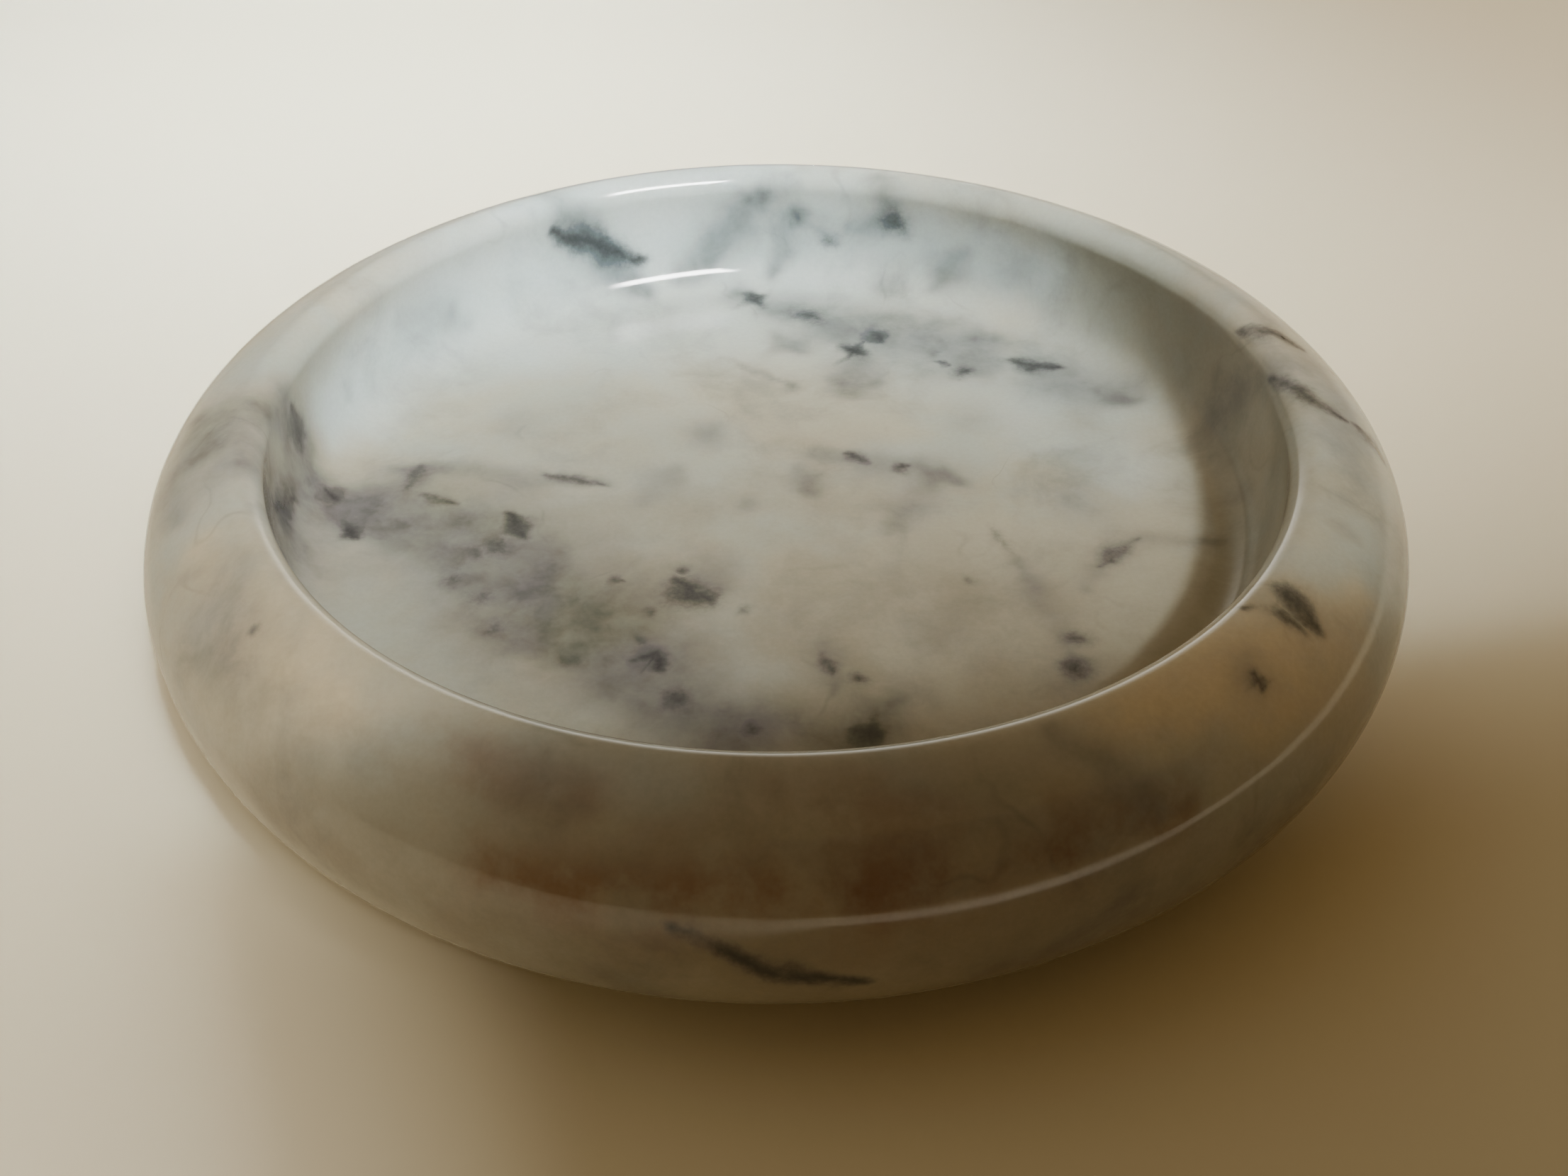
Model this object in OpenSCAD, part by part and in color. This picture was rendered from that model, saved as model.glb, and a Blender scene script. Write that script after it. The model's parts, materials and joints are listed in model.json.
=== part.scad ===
// Low turned marble shaving bowl standing on four stuck-on rubber pads.
// Everything but the pads is one solid of revolution about the Z axis.
// Origin: the centre of the plane that the bowl stands on, +Z up.

/* [Bowl] */
// Largest diameter, round the belly of the rim
outer_d = 140; // [134:1:150]
// Diameter of the mouth, at the inner edge of the lip
mouth_d = 112; // [108:1:116]
// Height of the stone, from its flat underside to the crest of the lip
stone_h = 27; // [26.5:0.5:31]
// Depth of the well, from the crest of the lip to the floor's centre
well_depth = 16; // [14:0.5:20]

/* [Rim] */
// Radius that breaks the inner edge of the lip
lip_r = 2.6; // [2:0.1:3]
// Radius of the shoulder between the top slope and the belly
shoulder_r = 11.9; // [11:0.1:12.5]
// Radius of the belly below the widest point
belly_r = 14; // [12:0.5:14.5]
// Slope of the rim's top just outside the lip, in degrees
top_slope_in = 16.5; // [14:0.5:20]
// Slope of the rim's top where the shoulder starts, in degrees
top_slope_out = 30; // [27:0.5:34]

/* [Well] */
// How far the wall leans back under the lip, in degrees
undercut = 6; // [2:1:8]
// Radius of the fillet between the wall and the floor
fillet_r = 5; // [4:0.5:6]
// Radius of the shallow dish round the edge of the floor
dish_r = 180; // [150:10:220]

/* [Pads] */
// Diameter of a pad
pad_d = 10; // [8:0.5:14]
// Thickness of a pad, which is also how far the stone stands off the surface
pad_t = 1.5; // [1:0.1:2.5]
// Radius of the circle that the pads' centres lie on
pad_circle_r = 46; // [35:1:50]
// Radius that rounds the lower edge of a pad
pad_edge_r = 0.6; // [0.3:0.1:0.8]

/* [Hidden] */
NODES = ["bowl", "pad_right", "pad_back", "pad_left", "pad_front"];
$fn = 180;

pad_count = len(NODES) - 1;
crest_z = pad_t + stone_h;
floor_z = crest_z - well_depth;

// A surface direction is the angle of its outward normal, in degrees from straight up:
// 90 faces away from the axis, 180 faces down, and a negative angle faces the axis.
belly_end = 130;
base_slope = 155;
wall_foot = -74;
floor_edge = -3;
base_edge_r = 2;

// Longest step along an arc of the section, in degrees.
arc_step = 3;

function normal(a) = [sin(a), cos(a)];

// The far end of an arc that starts at p: a positive radius is convex stone, a negative one hollow.
function arc_end(p, r, a, b) = p + r * (normal(b) - normal(a));

// The top of the rim is one arc whose radius closes the distance from the lip to the shoulder.
top_r = (outer_d / 2 - mouth_d / 2 - lip_r * (1 + sin(top_slope_in)) - shoulder_r * (1 - sin(top_slope_out)))
    / (sin(top_slope_out) - sin(top_slope_in));
belly_z = crest_z - lip_r * (1 - cos(top_slope_in)) - top_r * (cos(top_slope_in) - cos(top_slope_out))
    - shoulder_r * cos(top_slope_out);
widest = [outer_d / 2, belly_z];

// Above the widest point: shoulder, top slope, lip, wall, fillet and the floor's edge.
shoulder_top = arc_end(widest, shoulder_r, 90, top_slope_out);
lip_out = arc_end(shoulder_top, top_r, top_slope_out, top_slope_in);
lip_in = arc_end(lip_out, lip_r, top_slope_in, -90 - undercut);
floor_rise = dish_r * (1 - cos(floor_edge)) + fillet_r * (cos(floor_edge) - cos(wall_foot));
wall_r = (lip_in.y - floor_z - floor_rise) / (cos(wall_foot) - cos(90 + undercut));
wall_end = arc_end(lip_in, -wall_r, -90 - undercut, wall_foot);
fillet_end = arc_end(wall_end, -fillet_r, wall_foot, floor_edge);
dish_end = arc_end(fillet_end, -dish_r, floor_edge, 0);

// Below it: belly, the flatter turn towards the base, and the broken edge of the underside.
belly_low = arc_end(widest, belly_r, 90, belly_end);
turn_r = (belly_low.y - pad_t - base_edge_r * (1 + cos(base_slope))) / (cos(belly_end) - cos(base_slope));
turn_end = arc_end(belly_low, turn_r, belly_end, base_slope);
base_end = arc_end(turn_end, base_edge_r, base_slope, 180);

// Every arc of the section: start, signed radius, first and last direction.
arcs = [
    [base_end, base_edge_r, 180, base_slope],
    [turn_end, turn_r, base_slope, belly_end],
    [belly_low, belly_r, belly_end, 90],
    [widest, shoulder_r, 90, top_slope_out],
    [shoulder_top, top_r, top_slope_out, top_slope_in],
    [lip_out, lip_r, top_slope_in, -90 - undercut],
    [lip_in, -wall_r, -90 - undercut, wall_foot],
    [wall_end, -fillet_r, wall_foot, floor_edge],
    [fillet_end, -dish_r, floor_edge, 0],
];

// Points along one arc, a step of at most arc_step degrees apart, without its last one.
function arc_points(arc) =
    let (span = arc[3] - arc[2], steps = ceil(abs(span) / arc_step))
    [for (i = [0 : steps - 1]) arc_end(arc[0], arc[1], arc[2], arc[2] + span * i / steps)];

module section() {
    rim_and_well = [for (arc = arcs) each arc_points(arc)];
    polygon(concat([[0, pad_t]], rim_and_well, [dish_end, [0, floor_z]]));
}

module bowl() {
    color("whitesmoke") rotate_extrude() section();
}

// A flat round pad whose lower edge is rounded.
module pad(i) {
    color("gray") rotate([0, 0, i * 360 / pad_count]) translate([pad_circle_r, 0, 0]) rotate_extrude() {
        translate([0, pad_edge_r]) square([pad_d / 2, pad_t - pad_edge_r]);
        square([pad_d / 2 - pad_edge_r, pad_t]);
        translate([pad_d / 2 - pad_edge_r, pad_edge_r]) circle(pad_edge_r);
    }
}

bowl();
pad(0);  // pad_right
pad(1);  // pad_back
pad(2);  // pad_left
pad(3);  // pad_front
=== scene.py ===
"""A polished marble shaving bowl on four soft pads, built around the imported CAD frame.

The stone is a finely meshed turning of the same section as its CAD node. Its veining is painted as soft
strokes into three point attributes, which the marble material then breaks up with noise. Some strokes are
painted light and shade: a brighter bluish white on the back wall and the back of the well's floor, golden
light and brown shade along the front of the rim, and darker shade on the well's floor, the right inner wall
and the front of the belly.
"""

import json
import math

import bpy
import numpy as np
from mathutils import Matrix, Vector, noise


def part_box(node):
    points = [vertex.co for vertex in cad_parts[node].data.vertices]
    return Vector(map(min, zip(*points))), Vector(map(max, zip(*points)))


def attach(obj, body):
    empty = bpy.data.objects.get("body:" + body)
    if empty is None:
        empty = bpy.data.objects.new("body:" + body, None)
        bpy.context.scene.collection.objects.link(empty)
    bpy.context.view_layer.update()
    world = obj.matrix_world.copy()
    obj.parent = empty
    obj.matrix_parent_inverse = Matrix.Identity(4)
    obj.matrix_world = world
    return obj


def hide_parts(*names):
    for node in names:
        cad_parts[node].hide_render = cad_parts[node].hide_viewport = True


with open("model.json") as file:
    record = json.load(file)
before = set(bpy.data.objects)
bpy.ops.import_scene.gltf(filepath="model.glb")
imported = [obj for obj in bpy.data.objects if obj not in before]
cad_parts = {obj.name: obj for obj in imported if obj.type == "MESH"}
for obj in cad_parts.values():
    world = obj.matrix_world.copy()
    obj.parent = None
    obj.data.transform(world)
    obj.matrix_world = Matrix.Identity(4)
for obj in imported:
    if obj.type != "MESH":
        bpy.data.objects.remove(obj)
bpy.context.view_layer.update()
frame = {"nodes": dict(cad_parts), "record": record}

MM = 0.001

# ---------------------------------------------------------------- the section of the stone, in millimetres

bowl_low, bowl_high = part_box("bowl")
mounts = {mount["name"]: mount for mount in frame["record"]["mounts"]}

OUTER_R = bowl_high.x / MM
CREST_Z = bowl_high.z / MM
BASE_Z = bowl_low.z / MM
FLOOR_Z = mounts["well_floor"]["pos_m"][2] / MM
MOUTH_R = 56.0

LIP_R = 2.6
SHOULDER_R = 11.9
BELLY_R = 14.0
FILLET_R = 5.0
DISH_R = 180.0
BASE_EDGE_R = 2.0

# Directions of the surface, in degrees from straight up: 90 faces outward and a negative one faces the axis.
TOP_IN = 16.5
TOP_OUT = 30.0
UNDERCUT = -96.0
WALL_FOOT = -74.0
FLOOR_EDGE = -3.0
BELLY_END = 130.0
BASE_SLOPE = 155.0

RING_STEP = 0.65
UNDERSIDE_STEP = 1.4
MOST_TURN = 5.0
SEGMENTS = 480
PAD_SEGMENTS = 64

VEIN_FALL = 0.5
NO_VEIN = 100.0


def facing(angle):
    """The unit vector (radius, height) of a surface direction."""
    return np.array([math.sin(math.radians(angle)), math.cos(math.radians(angle))])


def arc_end(start, radius, first, last):
    return start + radius * (facing(last) - facing(first))


def rise(first, last):
    """How far an arc of radius 1 climbs from one direction to another."""
    return facing(last)[1] - facing(first)[1]


def section_arcs():
    """Every arc from the edge of the underside to the floor's centre: start, signed radius, directions."""
    top_r = OUTER_R - MOUTH_R - LIP_R * (1 + facing(TOP_IN)[0]) - SHOULDER_R * (1 - facing(TOP_OUT)[0])
    top_r /= facing(TOP_OUT)[0] - facing(TOP_IN)[0]
    belly_z = CREST_Z - LIP_R * rise(TOP_IN, 0) - top_r * rise(TOP_OUT, TOP_IN) - SHOULDER_R * rise(90, TOP_OUT)
    widest = np.array([OUTER_R, belly_z])
    shoulder_top = arc_end(widest, SHOULDER_R, 90, TOP_OUT)
    lip_out = arc_end(shoulder_top, top_r, TOP_OUT, TOP_IN)
    lip_in = arc_end(lip_out, LIP_R, TOP_IN, UNDERCUT)
    floor_rise = DISH_R * rise(FLOOR_EDGE, 0) + FILLET_R * rise(WALL_FOOT, FLOOR_EDGE)
    wall_r = (lip_in[1] - FLOOR_Z - floor_rise) / rise(UNDERCUT, WALL_FOOT)
    wall_end = arc_end(lip_in, -wall_r, UNDERCUT, WALL_FOOT)
    fillet_end = arc_end(wall_end, -FILLET_R, WALL_FOOT, FLOOR_EDGE)
    belly_low = arc_end(widest, BELLY_R, 90, BELLY_END)
    turn_r = (belly_low[1] - BASE_Z - BASE_EDGE_R * rise(180, BASE_SLOPE)) / rise(BASE_SLOPE, BELLY_END)
    turn_end = arc_end(belly_low, turn_r, BELLY_END, BASE_SLOPE)
    base_end = arc_end(turn_end, BASE_EDGE_R, BASE_SLOPE, 180)
    return [
        (base_end, BASE_EDGE_R, 180, BASE_SLOPE),
        (turn_end, turn_r, BASE_SLOPE, BELLY_END),
        (belly_low, BELLY_R, BELLY_END, 90),
        (widest, SHOULDER_R, 90, TOP_OUT),
        (shoulder_top, top_r, TOP_OUT, TOP_IN),
        (lip_out, LIP_R, TOP_IN, UNDERCUT),
        (lip_in, -wall_r, UNDERCUT, WALL_FOOT),
        (wall_end, -FILLET_R, WALL_FOOT, FLOOR_EDGE),
        (fillet_end, -DISH_R, FLOOR_EDGE, 0),
    ]


def arc_points(start, radius, first, last):
    """Points along one arc, without its last one."""
    turn = abs(last - first)
    steps = math.ceil(max(math.radians(turn) * abs(radius) / RING_STEP, turn / MOST_TURN))
    return [arc_end(start, radius, first, first + (last - first) * i / steps) for i in range(steps)]


def flat_points(start, end, step):
    steps = math.ceil(np.linalg.norm(end - start) / step)
    return [start + (end - start) * i / steps for i in range(steps)]


def section():
    """The section from the underside's centre round to the floor's centre, and how far along it each point
    lies from the mouth's edge: positive out over the rim, negative down into the well."""
    arcs = section_arcs()
    points = flat_points(np.array([0.0, BASE_Z]), arcs[0][0], UNDERSIDE_STEP)
    mouth = 0
    for arc in arcs:
        if arc[1] < 0 and not mouth:
            mouth = len(points)
        points += arc_points(*arc)
    dish_end = arc_end(*arcs[-1])
    points += flat_points(dish_end, np.array([0.0, FLOOR_Z]), RING_STEP)
    points.append(np.array([0.0, FLOOR_Z]))
    points = np.array(points)
    length = np.concatenate([[0], np.cumsum(np.linalg.norm(np.diff(points, axis=0), axis=1))])
    return points, length[mouth] - length


# ---------------------------------------------------------------- meshes


def ring_size(radius):
    """Segments of a ring: halved each time that the radius halves, so that no face is a sliver."""
    count = SEGMENTS
    limit = OUTER_R * 0.4
    while radius < limit and count > 15:
        count //= 2
        limit /= 2
    return count


def lathe(name, points, ring_count):
    """Turns a section that starts and ends on the axis."""
    vertices = []
    rings = []
    for index, (radius, height) in enumerate(points):
        count = 1 if index in (0, len(points) - 1) else ring_count(radius)
        rings.append(range(len(vertices), len(vertices) + count))
        for k in range(count):
            angle = 2 * math.pi * k / count
            vertices.append((radius * math.cos(angle) * MM, radius * math.sin(angle) * MM, height * MM))
    faces = []
    for low, high in zip(rings, rings[1:]):
        faces += stitch(low, high)
    mesh = bpy.data.meshes.new(name)
    mesh.from_pydata(vertices, [], faces)
    mesh.polygons.foreach_set("use_smooth", [True] * len(mesh.polygons))
    mesh.update()
    made = bpy.data.objects.new(name, mesh)
    bpy.context.scene.collection.objects.link(made)
    return made


def stitch(low, high):
    """Faces between two rings whose segment counts are equal, or one twice the other, or one a point."""
    if len(low) == 1:
        return [(low[0], high[(k + 1) % len(high)], high[k]) for k in range(len(high))]
    if len(high) == 1:
        return [(low[k], low[(k + 1) % len(low)], high[0]) for k in range(len(low))]
    faces = []
    if len(low) == len(high):
        for k in range(len(low)):
            after = (k + 1) % len(low)
            faces.append((low[k], low[after], high[after], high[k]))
    elif len(low) < len(high):
        for k in range(len(low)):
            after = (k + 1) % len(low)
            fine = [high[(2 * k + i) % len(high)] for i in range(3)]
            faces += [(low[k], fine[1], fine[0]), (low[k], low[after], fine[1]), (low[after], fine[2], fine[1])]
    else:
        for k in range(len(high)):
            after = (k + 1) % len(high)
            fine = [low[(2 * k + i) % len(low)] for i in range(3)]
            faces += [(high[k], fine[0], fine[1]), (high[k], fine[1], high[after]), (fine[1], fine[2], high[after])]
    return faces


# ---------------------------------------------------------------- the veining, painted in listed strokes
# A stroke is (strength, half width in mm, its points). Points on the well's floor are (x, y) in mm. Points on
# the wall and the rim are (azimuth in degrees, mm along the section from the mouth's edge).

FLOOR_HAZE = [
    # the broad smudged band from the left wall to the front
    (0.96, 7.5, [(-54, -3), (-44, -3), (-36, -8), (-28, -16), (-20, -24), (-12, -32), (-4, -38)]),
    (0.60, 4.5, [(-46, -5), (-38, -9), (-29, -15), (-21, -22)]),
    (0.60, 5.0, [(-16, -33), (-4, -39), (10, -40)]),
    (0.55, 2.0, [(-46, 6), (-38, 6), (-30, 4), (-21, 3)]),
    (0.45, 2.5, [(-16, 0), (-12, 6)]),
    # the middle
    (0.60, 2.5, [(-9, 14)]),
    (0.70, 2.2, [(5, 10), (11, 7), (17, 7), (22, 3)]),
    (0.62, 2.2, [(3, 6), (4, 1)]),
    (0.50, 1.2, [(4, 5), (3.5, 3)]),
    (0.50, 1.2, [(20, 6), (21.5, 3)]),
    (0.45, 1.2, [(-3.5, -1)]),
    (0.55, 2.4, [(19, 5), (16, -1), (13, -6)]),
    (0.35, 3.0, [(-34, 16)]),
    (0.35, 3.0, [(25, 17)]),
    (0.33, 4.0, [(36, 0)]),
    # the band along the back
    (0.80, 4.5, [(-6, 50), (2, 46), (10, 41), (20, 39), (29, 37)]),
    (0.60, 6.0, [(6, 42), (18, 36), (32, 32), (46, 24)]),
    (0.60, 3.5, [(0, 38), (3, 35)]),
    (0.62, 4.0, [(10, 36), (11, 30), (9, 24)]),
    (0.55, 4.0, [(22, 34), (27, 29)]),
    (0.55, 3.5, [(33, 29), (36, 24), (45, 22)]),
    (0.50, 1.2, [(2, 25)]),
    (0.40, 0.8, [(-8, 33), (-3, 29), (2, 25)]),
    (0.60, 1.5, [(0, 38), (2, 35.5)]),
    (0.60, 1.0, [(20, 38), (28, 37)]),
    (0.70, 2.0, [(41, 24), (46, 22)]),
    # the front
    (0.55, 3.0, [(31, -31)]),
    (0.45, 1.5, [(27, -12), (30, -22), (31, -28)]),
    (0.50, 1.6, [(34, -17), (37, -11), (41, -8), (50, -9)]),
    (0.50, 2.2, [(5, -26), (6, -33)]),
    (0.60, 2.5, [(9, -39), (12, -35)]),
    (0.55, 3.0, [(-7, -15)]),
]

FLOOR_VEINS = [
    (1.00, 1.3, [(-10.5, -16), (-9.5, -18), (-7.5, -19)]),
    (0.75, 0.6, [(-10, -13.5)]),
    (0.90, 0.8, [(-31.5, -3.5), (-29, -7.5)]),
    (0.35, 1.2, [(-31.5, -9.5)]),
    (0.85, 0.9, [(-50.5, -5.5), (-48, -7.5)]),
    (0.40, 0.9, [(-42, 1), (-38.5, -0.5)]),
    (0.30, 1.2, [(-44.5, 3), (-43.5, 6)]),
    (0.55, 0.8, [(-28, 5), (-21, 2.5)]),
    (0.30, 1.2, [(-34, -11)]),
    (0.25, 1.2, [(-36, -15)]),
    (0.25, 1.2, [(-32.5, -19)]),
    (0.40, 1.0, [(-30, -23.5)]),
    (0.70, 0.4, [(-18.5, -15), (-17.5, -16)]),
    (0.55, 0.5, [(-13.5, -20.5)]),
    (0.60, 0.5, [(-3.5, -20.5)]),
    (0.90, 0.7, [(-15, -29.5), (-13, -28), (-12.5, -30)]),
    (0.60, 0.8, [(-21.5, -28)]),
    (0.50, 0.5, [(-14, -25.5)]),
    (0.65, 0.6, [(-3, -38), (-3, -39.5)]),
    (0.50, 1.0, [(-10, -34.5)]),
    (0.85, 1.2, [(8, -39), (10, -39.5)]),
    (0.75, 0.7, [(5, -28), (5.5, -31)]),
    (0.75, 0.6, [(8.5, -31.5)]),
    (0.50, 0.7, [(21.5, -15.5)]),
    (0.35, 0.8, [(24.5, -5), (25.5, -8), (26.5, -11)]),
    (0.60, 0.8, [(31.5, -25)]),
    (0.85, 0.8, [(31, -30)]),
    (0.30, 0.8, [(36, -13), (38, -10), (41, -8)]),
    (0.65, 0.8, [(8, 9.5), (11, 7)]),
    (0.55, 0.7, [(14, 6), (16, 7)]),
    (0.80, 1.4, [(-4, 49.5), (-2.5, 48)]),
    (0.65, 1.3, [(4, 44)]),
    (0.80, 0.9, [(12.5, 40), (14.5, 37.5)]),
    (1.00, 1.6, [(9.5, 35), (11, 34)]),
    (0.55, 0.5, [(21, 31.5), (23, 30.5)]),
    (0.50, 0.9, [(25, 28.5)]),
    (0.75, 0.9, [(32, 32), (34, 30), (38, 30)]),
]

SIDE_HAZE_AND_SHADE = [
    # down the left wall and over the rim
    (0.92, 6.5, [(206, -5), (194, -7), (183, -9)]),
    (0.65, 3.0, [(180, -14), (178, -6), (181, 0), (186, 6), (188, 11)]),
    (0.95, 3.0, [(181, -13), (179, -8), (180, -3), (184, 1)]),
    (0.90, 2.8, [(186, -13), (189, -8), (190, -2)]),
    (0.75, 4.5, [(196, 3), (190, 7), (184, 10)]),
    (0.60, 3.0, [(200, 11), (194, 12), (190, 9)]),
    (0.60, 3.0, [(184, 16), (176, 21)]),
    (0.50, 2.5, [(186, 26), (193, 31)]),
    (0.35, 5.0, [(210, 8), (226, 12)]),
    # the back wall
    (0.30, 1.5, [(164, -9), (164.5, -7.5)]),
    (0.90, 3.2, [(111, -13), (115, -9), (119, -4), (122, 0), (124, 8)]),
    (0.60, 2.2, [(113, -12), (115, -5)]),
    (0.80, 3.5, [(105, -12), (97, -5), (93, 0)]),
    (0.60, 2.0, [(101, -10), (98, -4)]),
    (0.85, 2.8, [(91, -12), (87, -3)]),
    (0.65, 2.5, [(66, -12), (62, -6)]),
    (0.45, 3.0, [(150, -5), (140, -9)]),
    (0.50, 2.0, [(84, -5)]),
    (0.70, 3.0, [(78, -5), (73, -2), (76, 3)]),
    (0.50, 2.0, [(73, -13)]),
    (0.45, 2.5, [(53, -6)]),
    # the right and front of the rim, with two strokes of painted shade
    (0.30, 6.0, [(-70, 8), (-108, 8)]),
    (0.40, 4.5, [(40, 6), (10, 8), (-15, 8)]),
    # painted shade: darkens the front of the belly
    (0.50, 6.0, [(-30, 24), (-55, 26), (-75, 27)]),
    # painted shade: darkens the right inner wall, away from the window's light
    (0.20, 6.0, [(40, -6), (20, -6), (0, -6)]),
    (0.30, 5.0, [(80, -5), (55, -6)]),
    (0.30, 3.0, [(-3, 5), (-7, 12)]),
    (0.30, 3.0, [(-40, 4), (-38, 9)]),
    (0.35, 2.0, [(-48, 9)]),
    (0.50, 2.2, [(-67, 5), (-62, 14)]),
    (0.20, 3.0, [(-78, 8), (-68, 15)]),
    (0.30, 4.0, [(-8, 25), (-14, 29)]),
    (0.35, 1.2, [(-25, 6), (-25, 9)]),
    (0.30, 1.0, [(-150, 9), (-152, 12)]),
    (0.35, 1.2, [(92, -6), (98, -2)]),
    (0.30, 0.8, [(45.5, -2.5)]),
    (0.30, 0.8, [(142, -7)]),
    (0.30, 1.0, [(4, 3)]),
]

SIDE_VEINS = [
    (0.75, 0.8, [(181, -14.5), (180, -12)]),
    (0.55, 1.1, [(192, -5), (186, -9)]),
    (0.80, 1.0, [(178, -7), (177, -3)]),
    (1.10, 0.9, [(110.5, -8), (115, -6), (119, -4), (123.5, -1)]),
    (0.50, 0.8, [(82, -7)]),
    (0.60, 1.3, [(73, -3)]),
    (0.80, 0.9, [(14, 2), (11, 4.5), (9, 8)]),
    (0.80, 0.8, [(3, 2), (-3, 5), (-5, 8)]),
    (0.75, 0.8, [(-5, 9.5), (-8, 13.5)]),
    (0.55, 0.8, [(1, 18.5), (8, 21)]),
    (0.75, 1.1, [(-38, 5), (-38.5, 9.5)]),
    (0.60, 0.5, [(-42, 3), (-40.5, 6), (-40.5, 10)]),
    (0.60, 0.7, [(-48, 9), (-48, 10.5)]),
    (0.60, 0.4, [(-139.5, 8.5)]),
    (1.05, 0.55, [(-97, 18), (-92, 21), (-87, 23.5), (-84, 25)]),
]

# faint pink and cream stains in the white, and painted shade: the two broad strokes darken and warm the front and
# middle of the well's floor
FLOOR_STAINS_AND_SHADE = [
    (0.8, 22.0, [(-30, -22), (0, -28), (28, -22)]),
    (0.6, 14.0, [(-46, 2), (-30, -4), (8, 2), (20, 2)]),
    (0.6, 4.0, [(39, 16)]),
    (0.5, 3.0, [(1, 11)]),
    (0.5, 6.0, [(-26, 17)]),
    (0.5, 5.0, [(15, -33)]),
    (0.4, 4.0, [(21, -16)]),
]
# painted light: a brighter, bluer white along the back wall and the rim above it, and at the back of the well's
# floor, where the window's light falls
FLOOR_PAINTED_LIGHT = [(0.45, 10.0, [(-32, 34), (0, 42), (30, 30), (42, 6)])]
SIDE_PAINTED_LIGHT = [
    (0.95, 9.0, [(168, -8), (150, -7), (130, -6), (110, -6), (90, -6), (66, -6), (50, -6)]),
    (0.60, 5.0, [(130, 4), (110, 5), (90, 4)]),
]
# painted light and shade along the front of the rim: golden patches of painted warm light, then dark brown painted
# shade low on the belly
SIDE_PAINTED_WARM_LIGHT = [
    (0.75, 6.0, [(-152, 9), (-140, 9), (-126, 9)]),
    (0.90, 5.0, [(-62, 6), (-50, 7), (-38, 7)]),
    (0.60, 5.0, [(-50, 13), (-32, 12)]),
]
# painted shade: dark brown along the front of the belly
SIDE_PAINTED_BROWN_SHADE = [
    (0.80, 4.5, [(-110, 17), (-92, 16), (-76, 15), (-60, 15)]),
    (0.50, 3.5, [(-118, 8), (-104, 9)]),
    (0.40, 3.0, [(-90, 7), (-78, 9)]),
]
# faint stains, and painted shade: the long low stroke darkens and warms the front of the belly
SIDE_STAINS_AND_SHADE = [
    (0.6, 5.0, [(-150, 10)]),
    (0.8, 8.0, [(-130, 21), (-100, 23), (-70, 23), (-50, 25)]),
    (0.5, 5.0, [(-20, 14)]),
]


def on_floor(x, y):
    return np.array([x, y, FLOOR_Z])


def on_side(azimuth, along):
    """The point of the stone at an azimuth and a distance along the section from the mouth's edge."""
    radius = np.interp(-along, -stone_along, stone_points[:, 0])
    height = np.interp(-along, -stone_along, stone_points[:, 1])
    angle = math.radians(azimuth)
    return np.array([radius * math.cos(angle), radius * math.sin(angle), height])


def side_path(points):
    """Side points joined by short steps, so that the path follows the curve of the rim."""
    path = [on_side(*points[0])]
    for (a0, s0), (a1, s1) in zip(points, points[1:]):
        steps = max(1, math.ceil(abs(a1 - a0) / 4))
        path += [on_side(a0 + (a1 - a0) * i / steps, s0 + (s1 - s0) * i / steps) for i in range(1, steps + 1)]
    return path


def stroke_offset(places, path, half_width):
    """How far each place lies from a stroke's line, as a vector in half widths. The stroke's ends taper."""
    path = np.array(path)
    if len(path) == 1:
        return (places - path[0]) / half_width
    lengths = np.linalg.norm(np.diff(path, axis=0), axis=1)
    before = np.concatenate([[0], np.cumsum(lengths)])
    nearest = np.full(places.shape, 1e6)
    for start, end, length, passed in zip(path, path[1:], lengths, before):
        share = np.clip((places - start) @ (end - start) / length**2, 0, 1)
        along = (passed + share * length) / before[-1]
        width = half_width * (0.45 + 0.55 * np.sin(math.pi * along))
        offset = (places - start - share[:, None] * (end - start)) / width[:, None]
        closer = np.linalg.norm(offset, axis=1) < np.linalg.norm(nearest, axis=1)
        nearest[closer] = offset[closer]
    return nearest


def strokes_of(floor_strokes, side_strokes):
    """Strokes with their points placed on the stone."""
    placed = [(strength, width, [on_floor(*p) for p in points]) for strength, width, points in floor_strokes]
    placed += [(strength, width, side_path(points)) for strength, width, points in side_strokes]
    return placed


def painted(places, strokes):
    """Soft strokes laid over each other: each is half as strong at its half width as on its line."""
    clear = np.ones(len(places))
    for strength, half_width, path in strokes:
        distance = np.linalg.norm(stroke_offset(places, path, half_width), axis=1)
        clear *= 1 - strength * np.exp2(-(distance**2))
    return 1 - clear


def vein_layers(mesh, places, strokes):
    """For every corner of every face: the offset from the vein that counts most in that face, and the vein's
    strength. An offset is a vector, so that it stays exact between the mesh's points."""
    corners = np.empty(len(mesh.loops), int)
    mesh.loops.foreach_get("vertex_index", corners)
    sides = np.empty(len(mesh.polygons), int)
    mesh.polygons.foreach_get("loop_total", sides)
    first = np.concatenate([[0], np.cumsum(sides)[:-1]])
    face_of = np.repeat(np.arange(len(sides)), sides)
    middles = np.add.reduceat(places[corners], first) / sides[:, None]
    best = np.full(len(middles), -NO_VEIN)
    winner = np.full(len(middles), -1)
    for index, (strength, half_width, path) in enumerate(strokes):
        value = strength - np.linalg.norm(stroke_offset(middles, path, half_width), axis=1) * VEIN_FALL
        better = value > best
        best[better] = value[better]
        winner[better] = index
    offsets = np.full((len(corners), 3), NO_VEIN)
    strengths = np.zeros(len(corners))
    for index, (strength, half_width, path) in enumerate(strokes):
        mine = winner[face_of] == index
        offsets[mine] = stroke_offset(places[corners[mine]], path, half_width)
        strengths[mine] = strength
    return offsets, strengths


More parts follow.
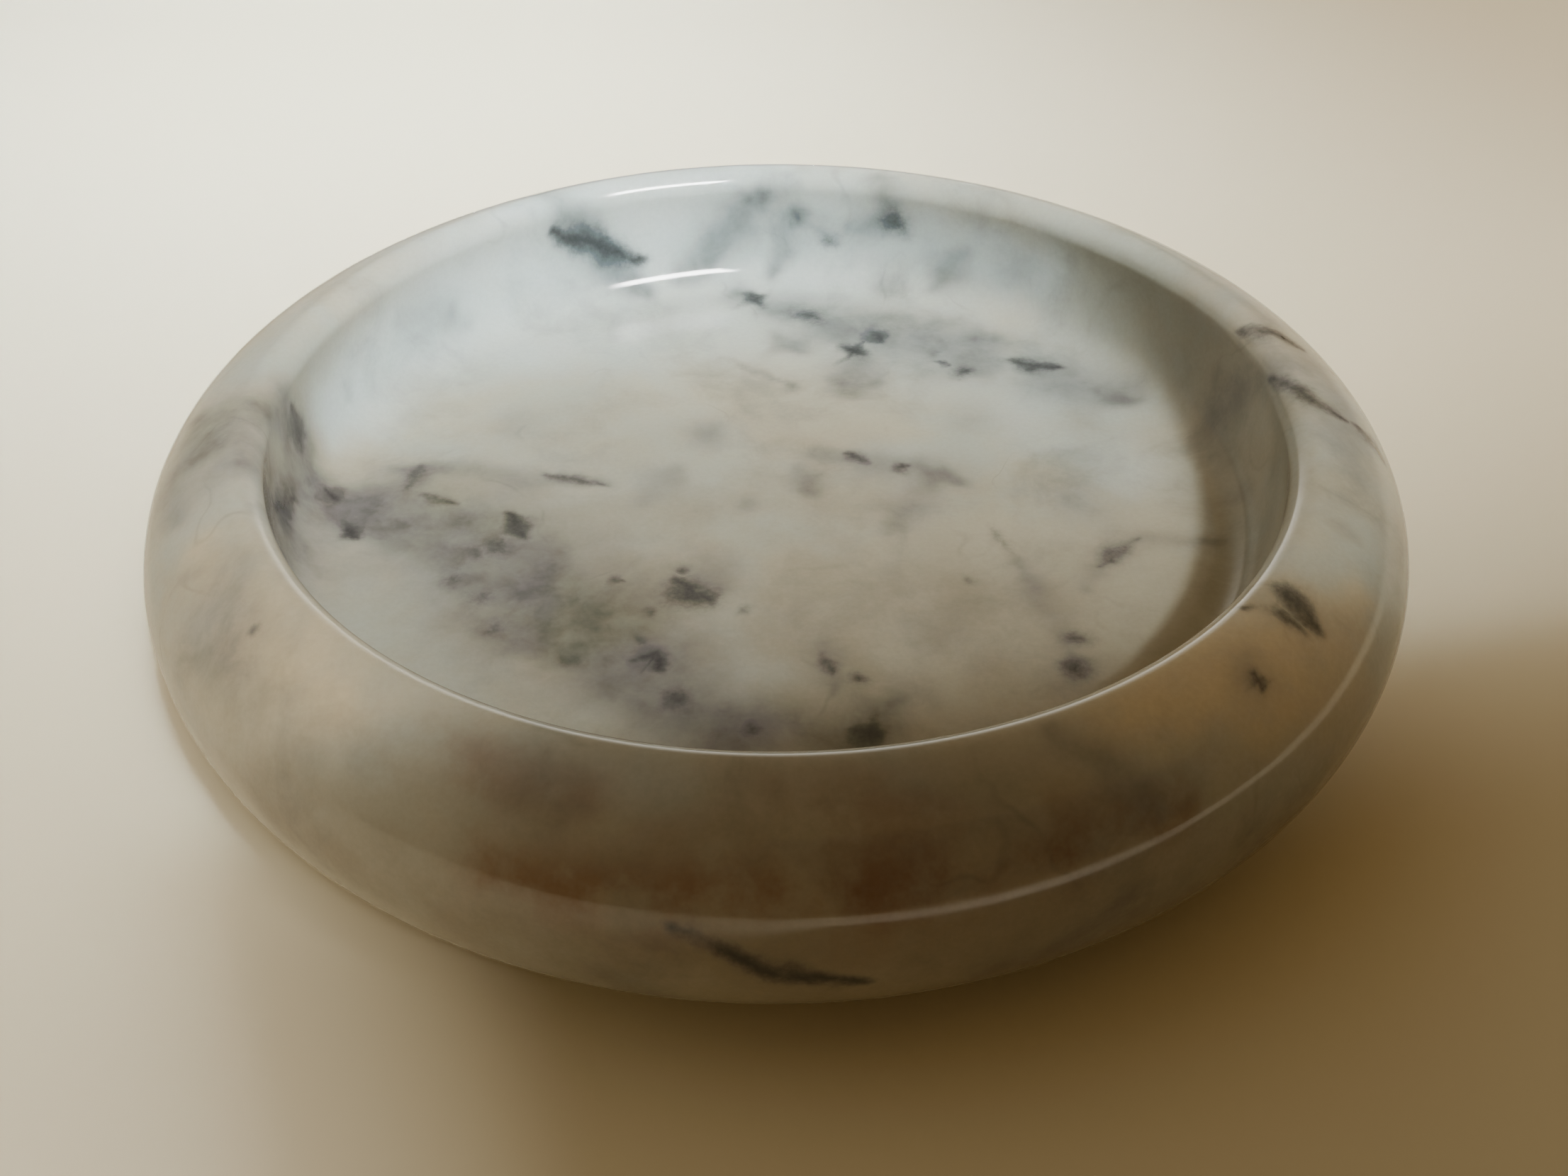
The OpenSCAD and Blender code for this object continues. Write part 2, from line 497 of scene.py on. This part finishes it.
def wobbled(places):
    """Places shifted by smooth noise, so that no stroke keeps a straight or round edge."""
    shifts = [
        Vector(p) + 1.0 * noise.noise_vector(Vector(p) / 5) + 0.5 * noise.noise_vector(Vector(p) / 1.9)
        for p in places
    ]
    return np.array(shifts)


def store(piece, name, values, domain="POINT"):
    attribute = piece.data.attributes.new(name, "FLOAT", domain)
    attribute.data.foreach_set("value", np.asarray(values, np.float32))


def store_vector(piece, name, values):
    attribute = piece.data.attributes.new(name, "FLOAT_VECTOR", "CORNER")
    attribute.data.foreach_set("vector", np.asarray(values, np.float32).ravel())


def places_of(piece):
    places = np.empty(len(piece.data.vertices) * 3, np.float32)
    piece.data.vertices.foreach_get("co", places)
    return places.reshape(-1, 3).astype(float) / MM


# ---------------------------------------------------------------- node helpers


def fill(tree, node, inputs):
    """Fills a node's sockets: a socket links, anything else is a value."""
    for key, value in inputs.items():
        if isinstance(value, bpy.types.NodeSocket):
            tree.links.new(value, node.inputs[key])
        else:
            node.inputs[key].default_value = value


def add(tree, kind, inputs=None, **settings):
    """A node with its settings and its sockets filled."""
    made = tree.nodes.new(kind)
    for name, value in settings.items():
        setattr(made, name, value)
    fill(tree, made, inputs or {})
    return made


def vector_node(tree, operation, first, second):
    return add(tree, "ShaderNodeVectorMath", {0: first, 1: second}, operation=operation).outputs[0]


def scaled(tree, vector, factor):
    return add(tree, "ShaderNodeVectorMath", {0: vector, "Scale": factor}, operation="SCALE").outputs[0]


def math_node(tree, operation, first, second, clamp=False):
    return add(tree, "ShaderNodeMath", {0: first, 1: second}, operation=operation, use_clamp=clamp).outputs[0]


def noise_node(tree, place, scale, detail=4.0, roughness=0.5, output="Fac"):
    inputs = {"Vector": place, "Scale": scale, "Detail": detail, "Roughness": roughness}
    return add(tree, "ShaderNodeTexNoise", inputs).outputs[output]


def between(tree, value, low, high, to_low=0.0, to_high=1.0, ease="SMOOTHSTEP"):
    """value mapped from low..high to to_low..to_high, and held at the ends."""
    inputs = {"Value": value, "From Min": low, "From Max": high, "To Min": to_low, "To Max": to_high}
    return add(tree, "ShaderNodeMapRange", inputs, interpolation_type=ease).outputs[0]


def blend_colour(tree, factor, first, second):
    inputs = {0: factor, 6: first, 7: second}
    return add(tree, "ShaderNodeMix", inputs, data_type="RGBA").outputs[2]


def layer(tree, name):
    return add(tree, "ShaderNodeAttribute", attribute_name=name).outputs["Fac"]


def new_material(name):
    made = bpy.data.materials.new(name)
    made.use_nodes = True
    tree = made.node_tree
    tree.nodes.clear()
    shader = add(tree, "ShaderNodeBsdfPrincipled")
    output = add(tree, "ShaderNodeOutputMaterial")
    tree.links.new(shader.outputs[0], output.inputs["Surface"])
    return made, tree, shader


def place_in_mm(tree):
    return scaled(tree, add(tree, "ShaderNodeTexCoord").outputs["Object"], 1 / MM)


def warped(tree, place, scale, reach):
    """The place pushed about by a noise, up to about half of reach."""
    colour = noise_node(tree, place, scale, detail=3.0, output="Color")
    centred = vector_node(tree, "SUBTRACT", colour, (0.5, 0.5, 0.5))
    return vector_node(tree, "ADD", place, scaled(tree, centred, reach))


# ---------------------------------------------------------------- materials

COOL_WHITE = (0.33, 0.335, 0.29, 1)
WARM_WHITE = (0.36, 0.325, 0.25, 1)
# painted light: the brighter bluish white of the lit back wall
PAINTED_LIGHT_WHITE = (0.45, 0.510, 0.505, 1)
# real stains, and painted shade on the well's floor and the front of the belly
WARM_STAIN_AND_SHADE = (0.225, 0.190, 0.135, 1)
# painted light: a brighter golden colour for warm light on the front of the rim
PAINTED_WARM_LIGHT = (0.50, 0.395, 0.245, 1)
# painted shade: the dark brown of the shaded front
PAINTED_BROWN_SHADE = (0.17, 0.085, 0.04, 1)
GREY_HAZE = (0.092, 0.084, 0.085, 1)
GREEN_HAZE = (0.090, 0.089, 0.070, 1)
# painted light: the bluer smudge colour on the lit back wall
PAINTED_LIGHT_HAZE = (0.070, 0.090, 0.100, 1)
DARK_VEIN = (0.024, 0.026, 0.027, 1)


def marble_white(tree, place):
    """The ground of the stone: cooler and warmer whites in slow clouds, with faint stains, and painted light and
    shade: a brighter bluish white on the lit back wall, golden light and brown shade along the front, and darker
    warm shade in the well.
    """
    clouds = noise_node(tree, warped(tree, place, 0.03, 20), 0.035, detail=5.0, roughness=0.55)
    ground = blend_colour(tree, between(tree, clouds, 0.38, 0.62), COOL_WHITE, WARM_WHITE)
    # painted light: a brighter bluish white where the window's light falls on the back wall
    ground = blend_colour(tree, layer(tree, "painted_light"), ground, PAINTED_LIGHT_WHITE)
    patches = noise_node(tree, place, 0.09, detail=5.0, roughness=0.6)
    # stains, and painted shade on the well's floor and the front of the belly
    stain_and_shade = math_node(tree, "MULTIPLY", layer(tree, "stain_and_shade"), between(tree, patches, 0.30, 0.65, 0.5, 1.0))
    ground = blend_colour(tree, stain_and_shade, ground, WARM_STAIN_AND_SHADE)
    # painted warm light on the front of the rim
    painted_warm_light = math_node(tree, "MULTIPLY", layer(tree, "painted_warm_light"), between(tree, patches, 0.30, 0.60, 0.4, 1.0))
    # painted brown shade on the front of the belly
    painted_brown_shade = math_node(tree, "MULTIPLY", layer(tree, "painted_brown_shade"), between(tree, patches, 0.38, 0.62, 1.0, 0.2))
    ground = blend_colour(tree, painted_warm_light, ground, PAINTED_WARM_LIGHT)
    return blend_colour(tree, painted_brown_shade, ground, PAINTED_BROWN_SHADE)


def marble_haze_and_shade(tree, place, veins):
    """Grey smudges: the painted ones, broken up, the halos of the veins, and a little everywhere. Two of the
    painted strokes are painted shade, on the right inner wall and low on the front of the belly.
    """
    breakup = noise_node(tree, warped(tree, place, 0.15, 4), 0.17, detail=3.5, roughness=0.5)
    # the painted strokes include painted shade on the right inner wall and the front of the belly
    painted_haze_and_shade = math_node(tree, "MULTIPLY", layer(tree, "haze_and_shade"), between(tree, breakup, 0.30, 0.70, 0.82, 1.22))
    halo = between(tree, veins, -1.0, 0.7, 0.0, 0.55)
    drift = noise_node(tree, warped(tree, place, 0.05, 18), 0.06, detail=7.0, roughness=0.6)
    smudges = math_node(tree, "ADD", painted_haze_and_shade, between(tree, drift, 0.46, 0.76, 0.0, 0.55))
    return between(tree, math_node(tree, "ADD", smudges, halo), 0.0, 1.25, 0.0, 0.95, ease="LINEAR")


def marble_veins(tree, place):
    """How deep a place lies in a painted vein: its strength, less a fall with the distance from its line.
    Noise pushes the place about first, so that the edges are ragged."""
    offset = add(tree, "ShaderNodeAttribute", attribute_name="vein_offset").outputs["Vector"]
    ragged = noise_node(tree, place, 1.2, detail=5.0, roughness=0.65, output="Color")
    push = scaled(tree, vector_node(tree, "SUBTRACT", ragged, (0.5, 0.5, 0.5)), 2.2)
    pushed = vector_node(tree, "ADD", offset, push)
    distance = add(tree, "ShaderNodeVectorMath", {0: pushed}, operation="LENGTH").outputs["Value"]
    fall = math_node(tree, "MULTIPLY", distance, VEIN_FALL)
    return math_node(tree, "SUBTRACT", layer(tree, "vein_strength"), fall)


def marble_threads(tree, place):
    """Thin grey threads that run everywhere in the stone."""
    threads = noise_node(tree, warped(tree, place, 0.06, 16), 0.055, detail=1.5, roughness=0.4)
    off_line = math_node(tree, "ABSOLUTE", math_node(tree, "SUBTRACT", threads, 0.5), 0.0)
    thin = between(tree, off_line, 0.0, 0.016, 1.0, 0.0)
    where = between(tree, noise_node(tree, place, 0.08, detail=3.0), 0.5, 0.7, 0.0, 0.16)
    return math_node(tree, "MULTIPLY", thin, where)


def marble_material():
    made, tree, shader = new_material("polished_marble")
    place = place_in_mm(tree)
    tint = noise_node(tree, place, 0.07, detail=2.0)
    haze_colour_and_light = blend_colour(tree, between(tree, tint, 0.47, 0.70), GREY_HAZE, GREEN_HAZE)
    # painted light: smudges on the lit back wall turned bluer
    haze_colour_and_light = blend_colour(tree, layer(tree, "painted_light"), haze_colour_and_light, PAINTED_LIGHT_HAZE)
    mottle = noise_node(tree, warped(tree, place, 0.3, 3), 0.30, detail=4.0, roughness=0.5)
    haze_colour_and_light = scaled(tree, haze_colour_and_light, between(tree, mottle, 0.30, 0.70, 0.80, 1.25))
    veins = marble_veins(tree, place)
    dark = between(tree, veins, -0.40, 1.15, 0.0, 0.88)
    colour = marble_white(tree, place)
    colour = blend_colour(tree, marble_haze_and_shade(tree, place, veins), colour, haze_colour_and_light)
    colour = blend_colour(tree, math_node(tree, "MAXIMUM", dark, marble_threads(tree, place)), colour, DARK_VEIN)
    crystals = noise_node(tree, place, 1.6, detail=3.0, roughness=0.7)
    grain = between(tree, crystals, 0.3, 0.7, 0.97, 1.03)
    tree.links.new(scaled(tree, colour, grain), shader.inputs["Base Color"])
    smear = noise_node(tree, place, 0.12, detail=5.0, roughness=0.6)
    polished = between(tree, smear, 0.3, 0.75, 0.08, 0.16)
    honed = layer(tree, "honed")
    roughness = math_node(tree, "ADD", polished, math_node(tree, "MULTIPLY", honed, 0.4))
    tree.links.new(roughness, shader.inputs["Roughness"])
    swell = noise_node(tree, place, 0.10, detail=2.0)
    bump = add(tree, "ShaderNodeBump", {"Height": swell, "Strength": 0.25, "Distance": 0.00025})
    tree.links.new(bump.outputs[0], shader.inputs["Normal"])
    shader.inputs["IOR"].default_value = 1.52
    shader.inputs["Subsurface Weight"].default_value = 0.25
    shader.inputs["Subsurface Radius"].default_value = (1.0, 0.9, 0.75)
    shader.inputs["Subsurface Scale"].default_value = 2.0 * MM
    return made


def rubber_material():
    """Soft milky rubber with a fine moulded grain and a little dust."""
    made, tree, shader = new_material("milky_rubber")
    place = place_in_mm(tree)
    dust = noise_node(tree, place, 0.5, detail=5.0, roughness=0.6)
    colour = blend_colour(tree, between(tree, dust, 0.35, 0.7), (0.55, 0.56, 0.55, 1), (0.68, 0.68, 0.66, 1))
    tree.links.new(colour, shader.inputs["Base Color"])
    tree.links.new(between(tree, dust, 0.3, 0.7, 0.35, 0.6), shader.inputs["Roughness"])
    grain = noise_node(tree, place, 8.0, detail=2.0)
    bump = add(tree, "ShaderNodeBump", {"Height": grain, "Strength": 0.3, "Distance": 0.00003})
    tree.links.new(bump.outputs[0], shader.inputs["Normal"])
    return made


def floor_material():
    made, tree, shader = new_material("pale_floor")
    place = place_in_mm(tree)
    drift = noise_node(tree, place, 0.004, detail=2.0)
    colour = blend_colour(tree, between(tree, drift, 0.3, 0.7), (0.80, 0.71, 0.52, 1), (0.83, 0.75, 0.57, 1))
    tree.links.new(colour, shader.inputs["Base Color"])
    shader.inputs["Roughness"].default_value = 0.45
    return made


def card_material():
    made, tree, shader = new_material("brown_card")
    shader.inputs["Base Color"].default_value = (0.05, 0.04, 0.03, 1)
    shader.inputs["Roughness"].default_value = 0.8
    return made


# ---------------------------------------------------------------- pieces


def make_bowl():
    piece = lathe("marble_bowl", stone_points, ring_size)
    places = places_of(piece)
    shifted = wobbled(places)
    # grey smudges, and painted shade on the right inner wall and the front of the belly
    store(piece, "haze_and_shade", painted(shifted, strokes_of(FLOOR_HAZE, SIDE_HAZE_AND_SHADE)))
    # stains, and painted shade on the well's floor and the front of the belly
    store(piece, "stain_and_shade", painted(shifted, strokes_of(FLOOR_STAINS_AND_SHADE, SIDE_STAINS_AND_SHADE)))
    # painted warm light on the front of the rim
    store(piece, "painted_warm_light", painted(shifted, strokes_of([], SIDE_PAINTED_WARM_LIGHT)))
    # painted brown shade on the front of the belly
    store(piece, "painted_brown_shade", painted(shifted, strokes_of([], SIDE_PAINTED_BROWN_SHADE)))
    # painted light on the back wall and the back of the well's floor
    store(piece, "painted_light", painted(shifted, strokes_of(FLOOR_PAINTED_LIGHT, SIDE_PAINTED_LIGHT)))
    offsets, strengths = vein_layers(piece.data, shifted, strokes_of(FLOOR_VEINS, SIDE_VEINS))
    store(piece, "vein_strength", strengths, domain="CORNER")
    store_vector(piece, "vein_offset", offsets)
    store(piece, "honed", np.clip((BASE_Z + 0.9 - places[:, 2]) / 0.8, 0, 1))
    piece.data.materials.append(marble_material())
    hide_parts("bowl")
    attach(piece, "root")


def pad_section(radius, height):
    """A pad from its lower face's centre to its upper face's: a shallow dimple, a rim to stand on, a rounded
    lower edge and a side that draws in slightly towards the stone."""
    edge = 0.6
    dimple = 0.12
    points = [(0, dimple), (radius * 0.3, dimple), (radius * 0.55, dimple), (radius * 0.68, 0), (radius - edge, 0)]
    for angle in (165, 150, 135, 120, 105, 90):
        points.append(arc_end(np.array([radius - edge, 0.0]), edge, 180, angle))
    points += [(radius * 0.995, height * 0.7), (radius * 0.985, height)]
    points += [(radius * 0.6, height), (radius * 0.3, height), (0, height)]
    return points


def make_pads():
    material = rubber_material()
    for name in frame["nodes"]:
        if not name.startswith("pad_"):
            continue
        low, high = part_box(name)
        middle = (low + high) / 2
        section_points = pad_section((high.x - low.x) / 2 / MM, high.z / MM)
        piece = lathe("rubber_" + name, section_points, lambda radius: PAD_SEGMENTS)
        piece.data.transform(Matrix.Translation((middle.x, middle.y, 0)))
        piece.data.materials.append(material)
        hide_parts(name)
        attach(piece, "root")


# ---------------------------------------------------------------- floor, light and camera


def aimed(made, azimuth, elevation, distance, target):
    """Puts a light on a sphere round its target, facing it."""
    a = math.radians(azimuth)
    e = math.radians(elevation)
    direction = Vector((math.cos(a) * math.cos(e), math.sin(a) * math.cos(e), math.sin(e)))
    made.location = target + direction * distance
    made.rotation_euler = direction.to_track_quat("Z", "Y").to_euler()
    bpy.context.scene.collection.objects.link(made)


def area_light(name, azimuth, elevation, distance, size, watts, colour, target=Vector((0, 0, 0.02))):
    data = bpy.data.lights.new(name, "AREA")
    data.shape = "RECTANGLE"
    data.size, data.size_y = size
    data.energy = watts
    data.color = colour
    made = bpy.data.objects.new(name, data)
    aimed(made, azimuth, elevation, distance, target)
    return made


def make_floor():
    reach = 2.5
    mesh = bpy.data.meshes.new("floor")
    corners = [(-reach, -reach, 0), (reach, -reach, 0), (reach, reach, 0), (-reach, reach, 0)]
    mesh.from_pydata(corners, [], [(0, 1, 2, 3)])
    mesh.materials.append(floor_material())
    made = bpy.data.objects.new("floor", mesh)
    bpy.context.scene.collection.objects.link(made)


def make_shade():
    """A dark card just behind the camera and to its right, which shades the front of the rim from the window.
    It isn't seen directly."""
    width = 300 * MM
    height = 160 * MM
    left = 3 * MM
    top = 30 * MM
    lean = math.radians(12)
    mesh = bpy.data.meshes.new("shade_card")
    corners = [(left, top, 0), (left, top - height, 0), (left + width, top - height, 0), (left + width, top, 0)]
    mesh.from_pydata(corners, [], [(0, 1, 2, 3)])
    mesh.materials.append(card_material())
    made = bpy.data.objects.new("shade_card", mesh)
    camera = bpy.context.scene.camera
    made.rotation_euler = (camera.rotation_euler.to_matrix() @ Matrix.Rotation(lean, 3, "Z")).to_euler()
    away = camera.rotation_euler.to_matrix() @ Vector((0, 0, 1))
    made.location = camera.location + away * 3 * MM
    made.visible_camera = False
    bpy.context.scene.collection.objects.link(made)


def make_world():
    world = bpy.data.worlds.new("studio")
    bpy.context.scene.world = world
    world.use_nodes = True
    tree = world.node_tree
    tree.nodes.clear()
    direction = add(tree, "ShaderNodeTexCoord").outputs["Generated"]
    parts = add(tree, "ShaderNodeSeparateXYZ", {0: direction})
    back = between(tree, parts.outputs["Y"], 0.0, 0.4)
    right_edge = between(tree, parts.outputs["X"], 0.05, 0.35, 1.0, 0.0)
    middle = math_node(tree, "MULTIPLY", right_edge, between(tree, parts.outputs["X"], -0.42, -0.10))
    low = between(tree, parts.outputs["Z"], 0.0, 0.50, 1.0, 0.0)
    glow = math_node(tree, "MULTIPLY", math_node(tree, "MULTIPLY", back, middle), low)
    left = between(tree, parts.outputs["X"], -0.5, 0.1, 1.0, 0.0)
    left = math_node(tree, "MULTIPLY", left, between(tree, parts.outputs["Y"], -0.4, 0.1))
    walls = blend_colour(tree, left, (0.25, 0.165, 0.065, 1), (0.57, 0.53, 0.41, 1))
    room = blend_colour(tree, glow, walls, (3.0, 2.9, 2.5, 1))
    shell = add(tree, "ShaderNodeBackground", {"Color": room, "Strength": 1.0})
    output = add(tree, "ShaderNodeOutputWorld")
    tree.links.new(shell.outputs[0], output.inputs["Surface"])


def make_lights():
    """The window is seen only in reflections. The key stands in the same place, small enough to cast a shadow."""
    window = area_light("window", -58, 48, 2.0, (0.78, 0.46), 150, (1.0, 1.0, 0.97))
    window.visible_diffuse = False
    key = area_light("key", -57, 50, 2.0, (0.80, 0.55), 43, (1.0, 0.96, 0.85))
    key.visible_glossy = False
    wash = area_light("wash", -57, 50, 1.5, (0.20, 0.20), 0.85, (0.85, 0.98, 1.0), Vector((-0.10, 0.19, 0)))
    wash.data.spread = math.radians(14)
    wash.visible_glossy = False


def make_camera():
    data = bpy.data.cameras.new("camera")
    data.sensor_width = 36.0
    data.lens = 33.93
    data.clip_start = 0.01
    made = bpy.data.objects.new("camera", data)
    made.location = (0.8 * MM, -142.6 * MM, 115.2 * MM)
    made.rotation_euler = (math.radians(90 - 39.23), 0, 0)
    bpy.context.scene.collection.objects.link(made)
    bpy.context.scene.camera = made


make_camera()
stone_points, stone_along = section()
make_bowl()
make_pads()
make_floor()
make_shade()
make_world()
make_lights()
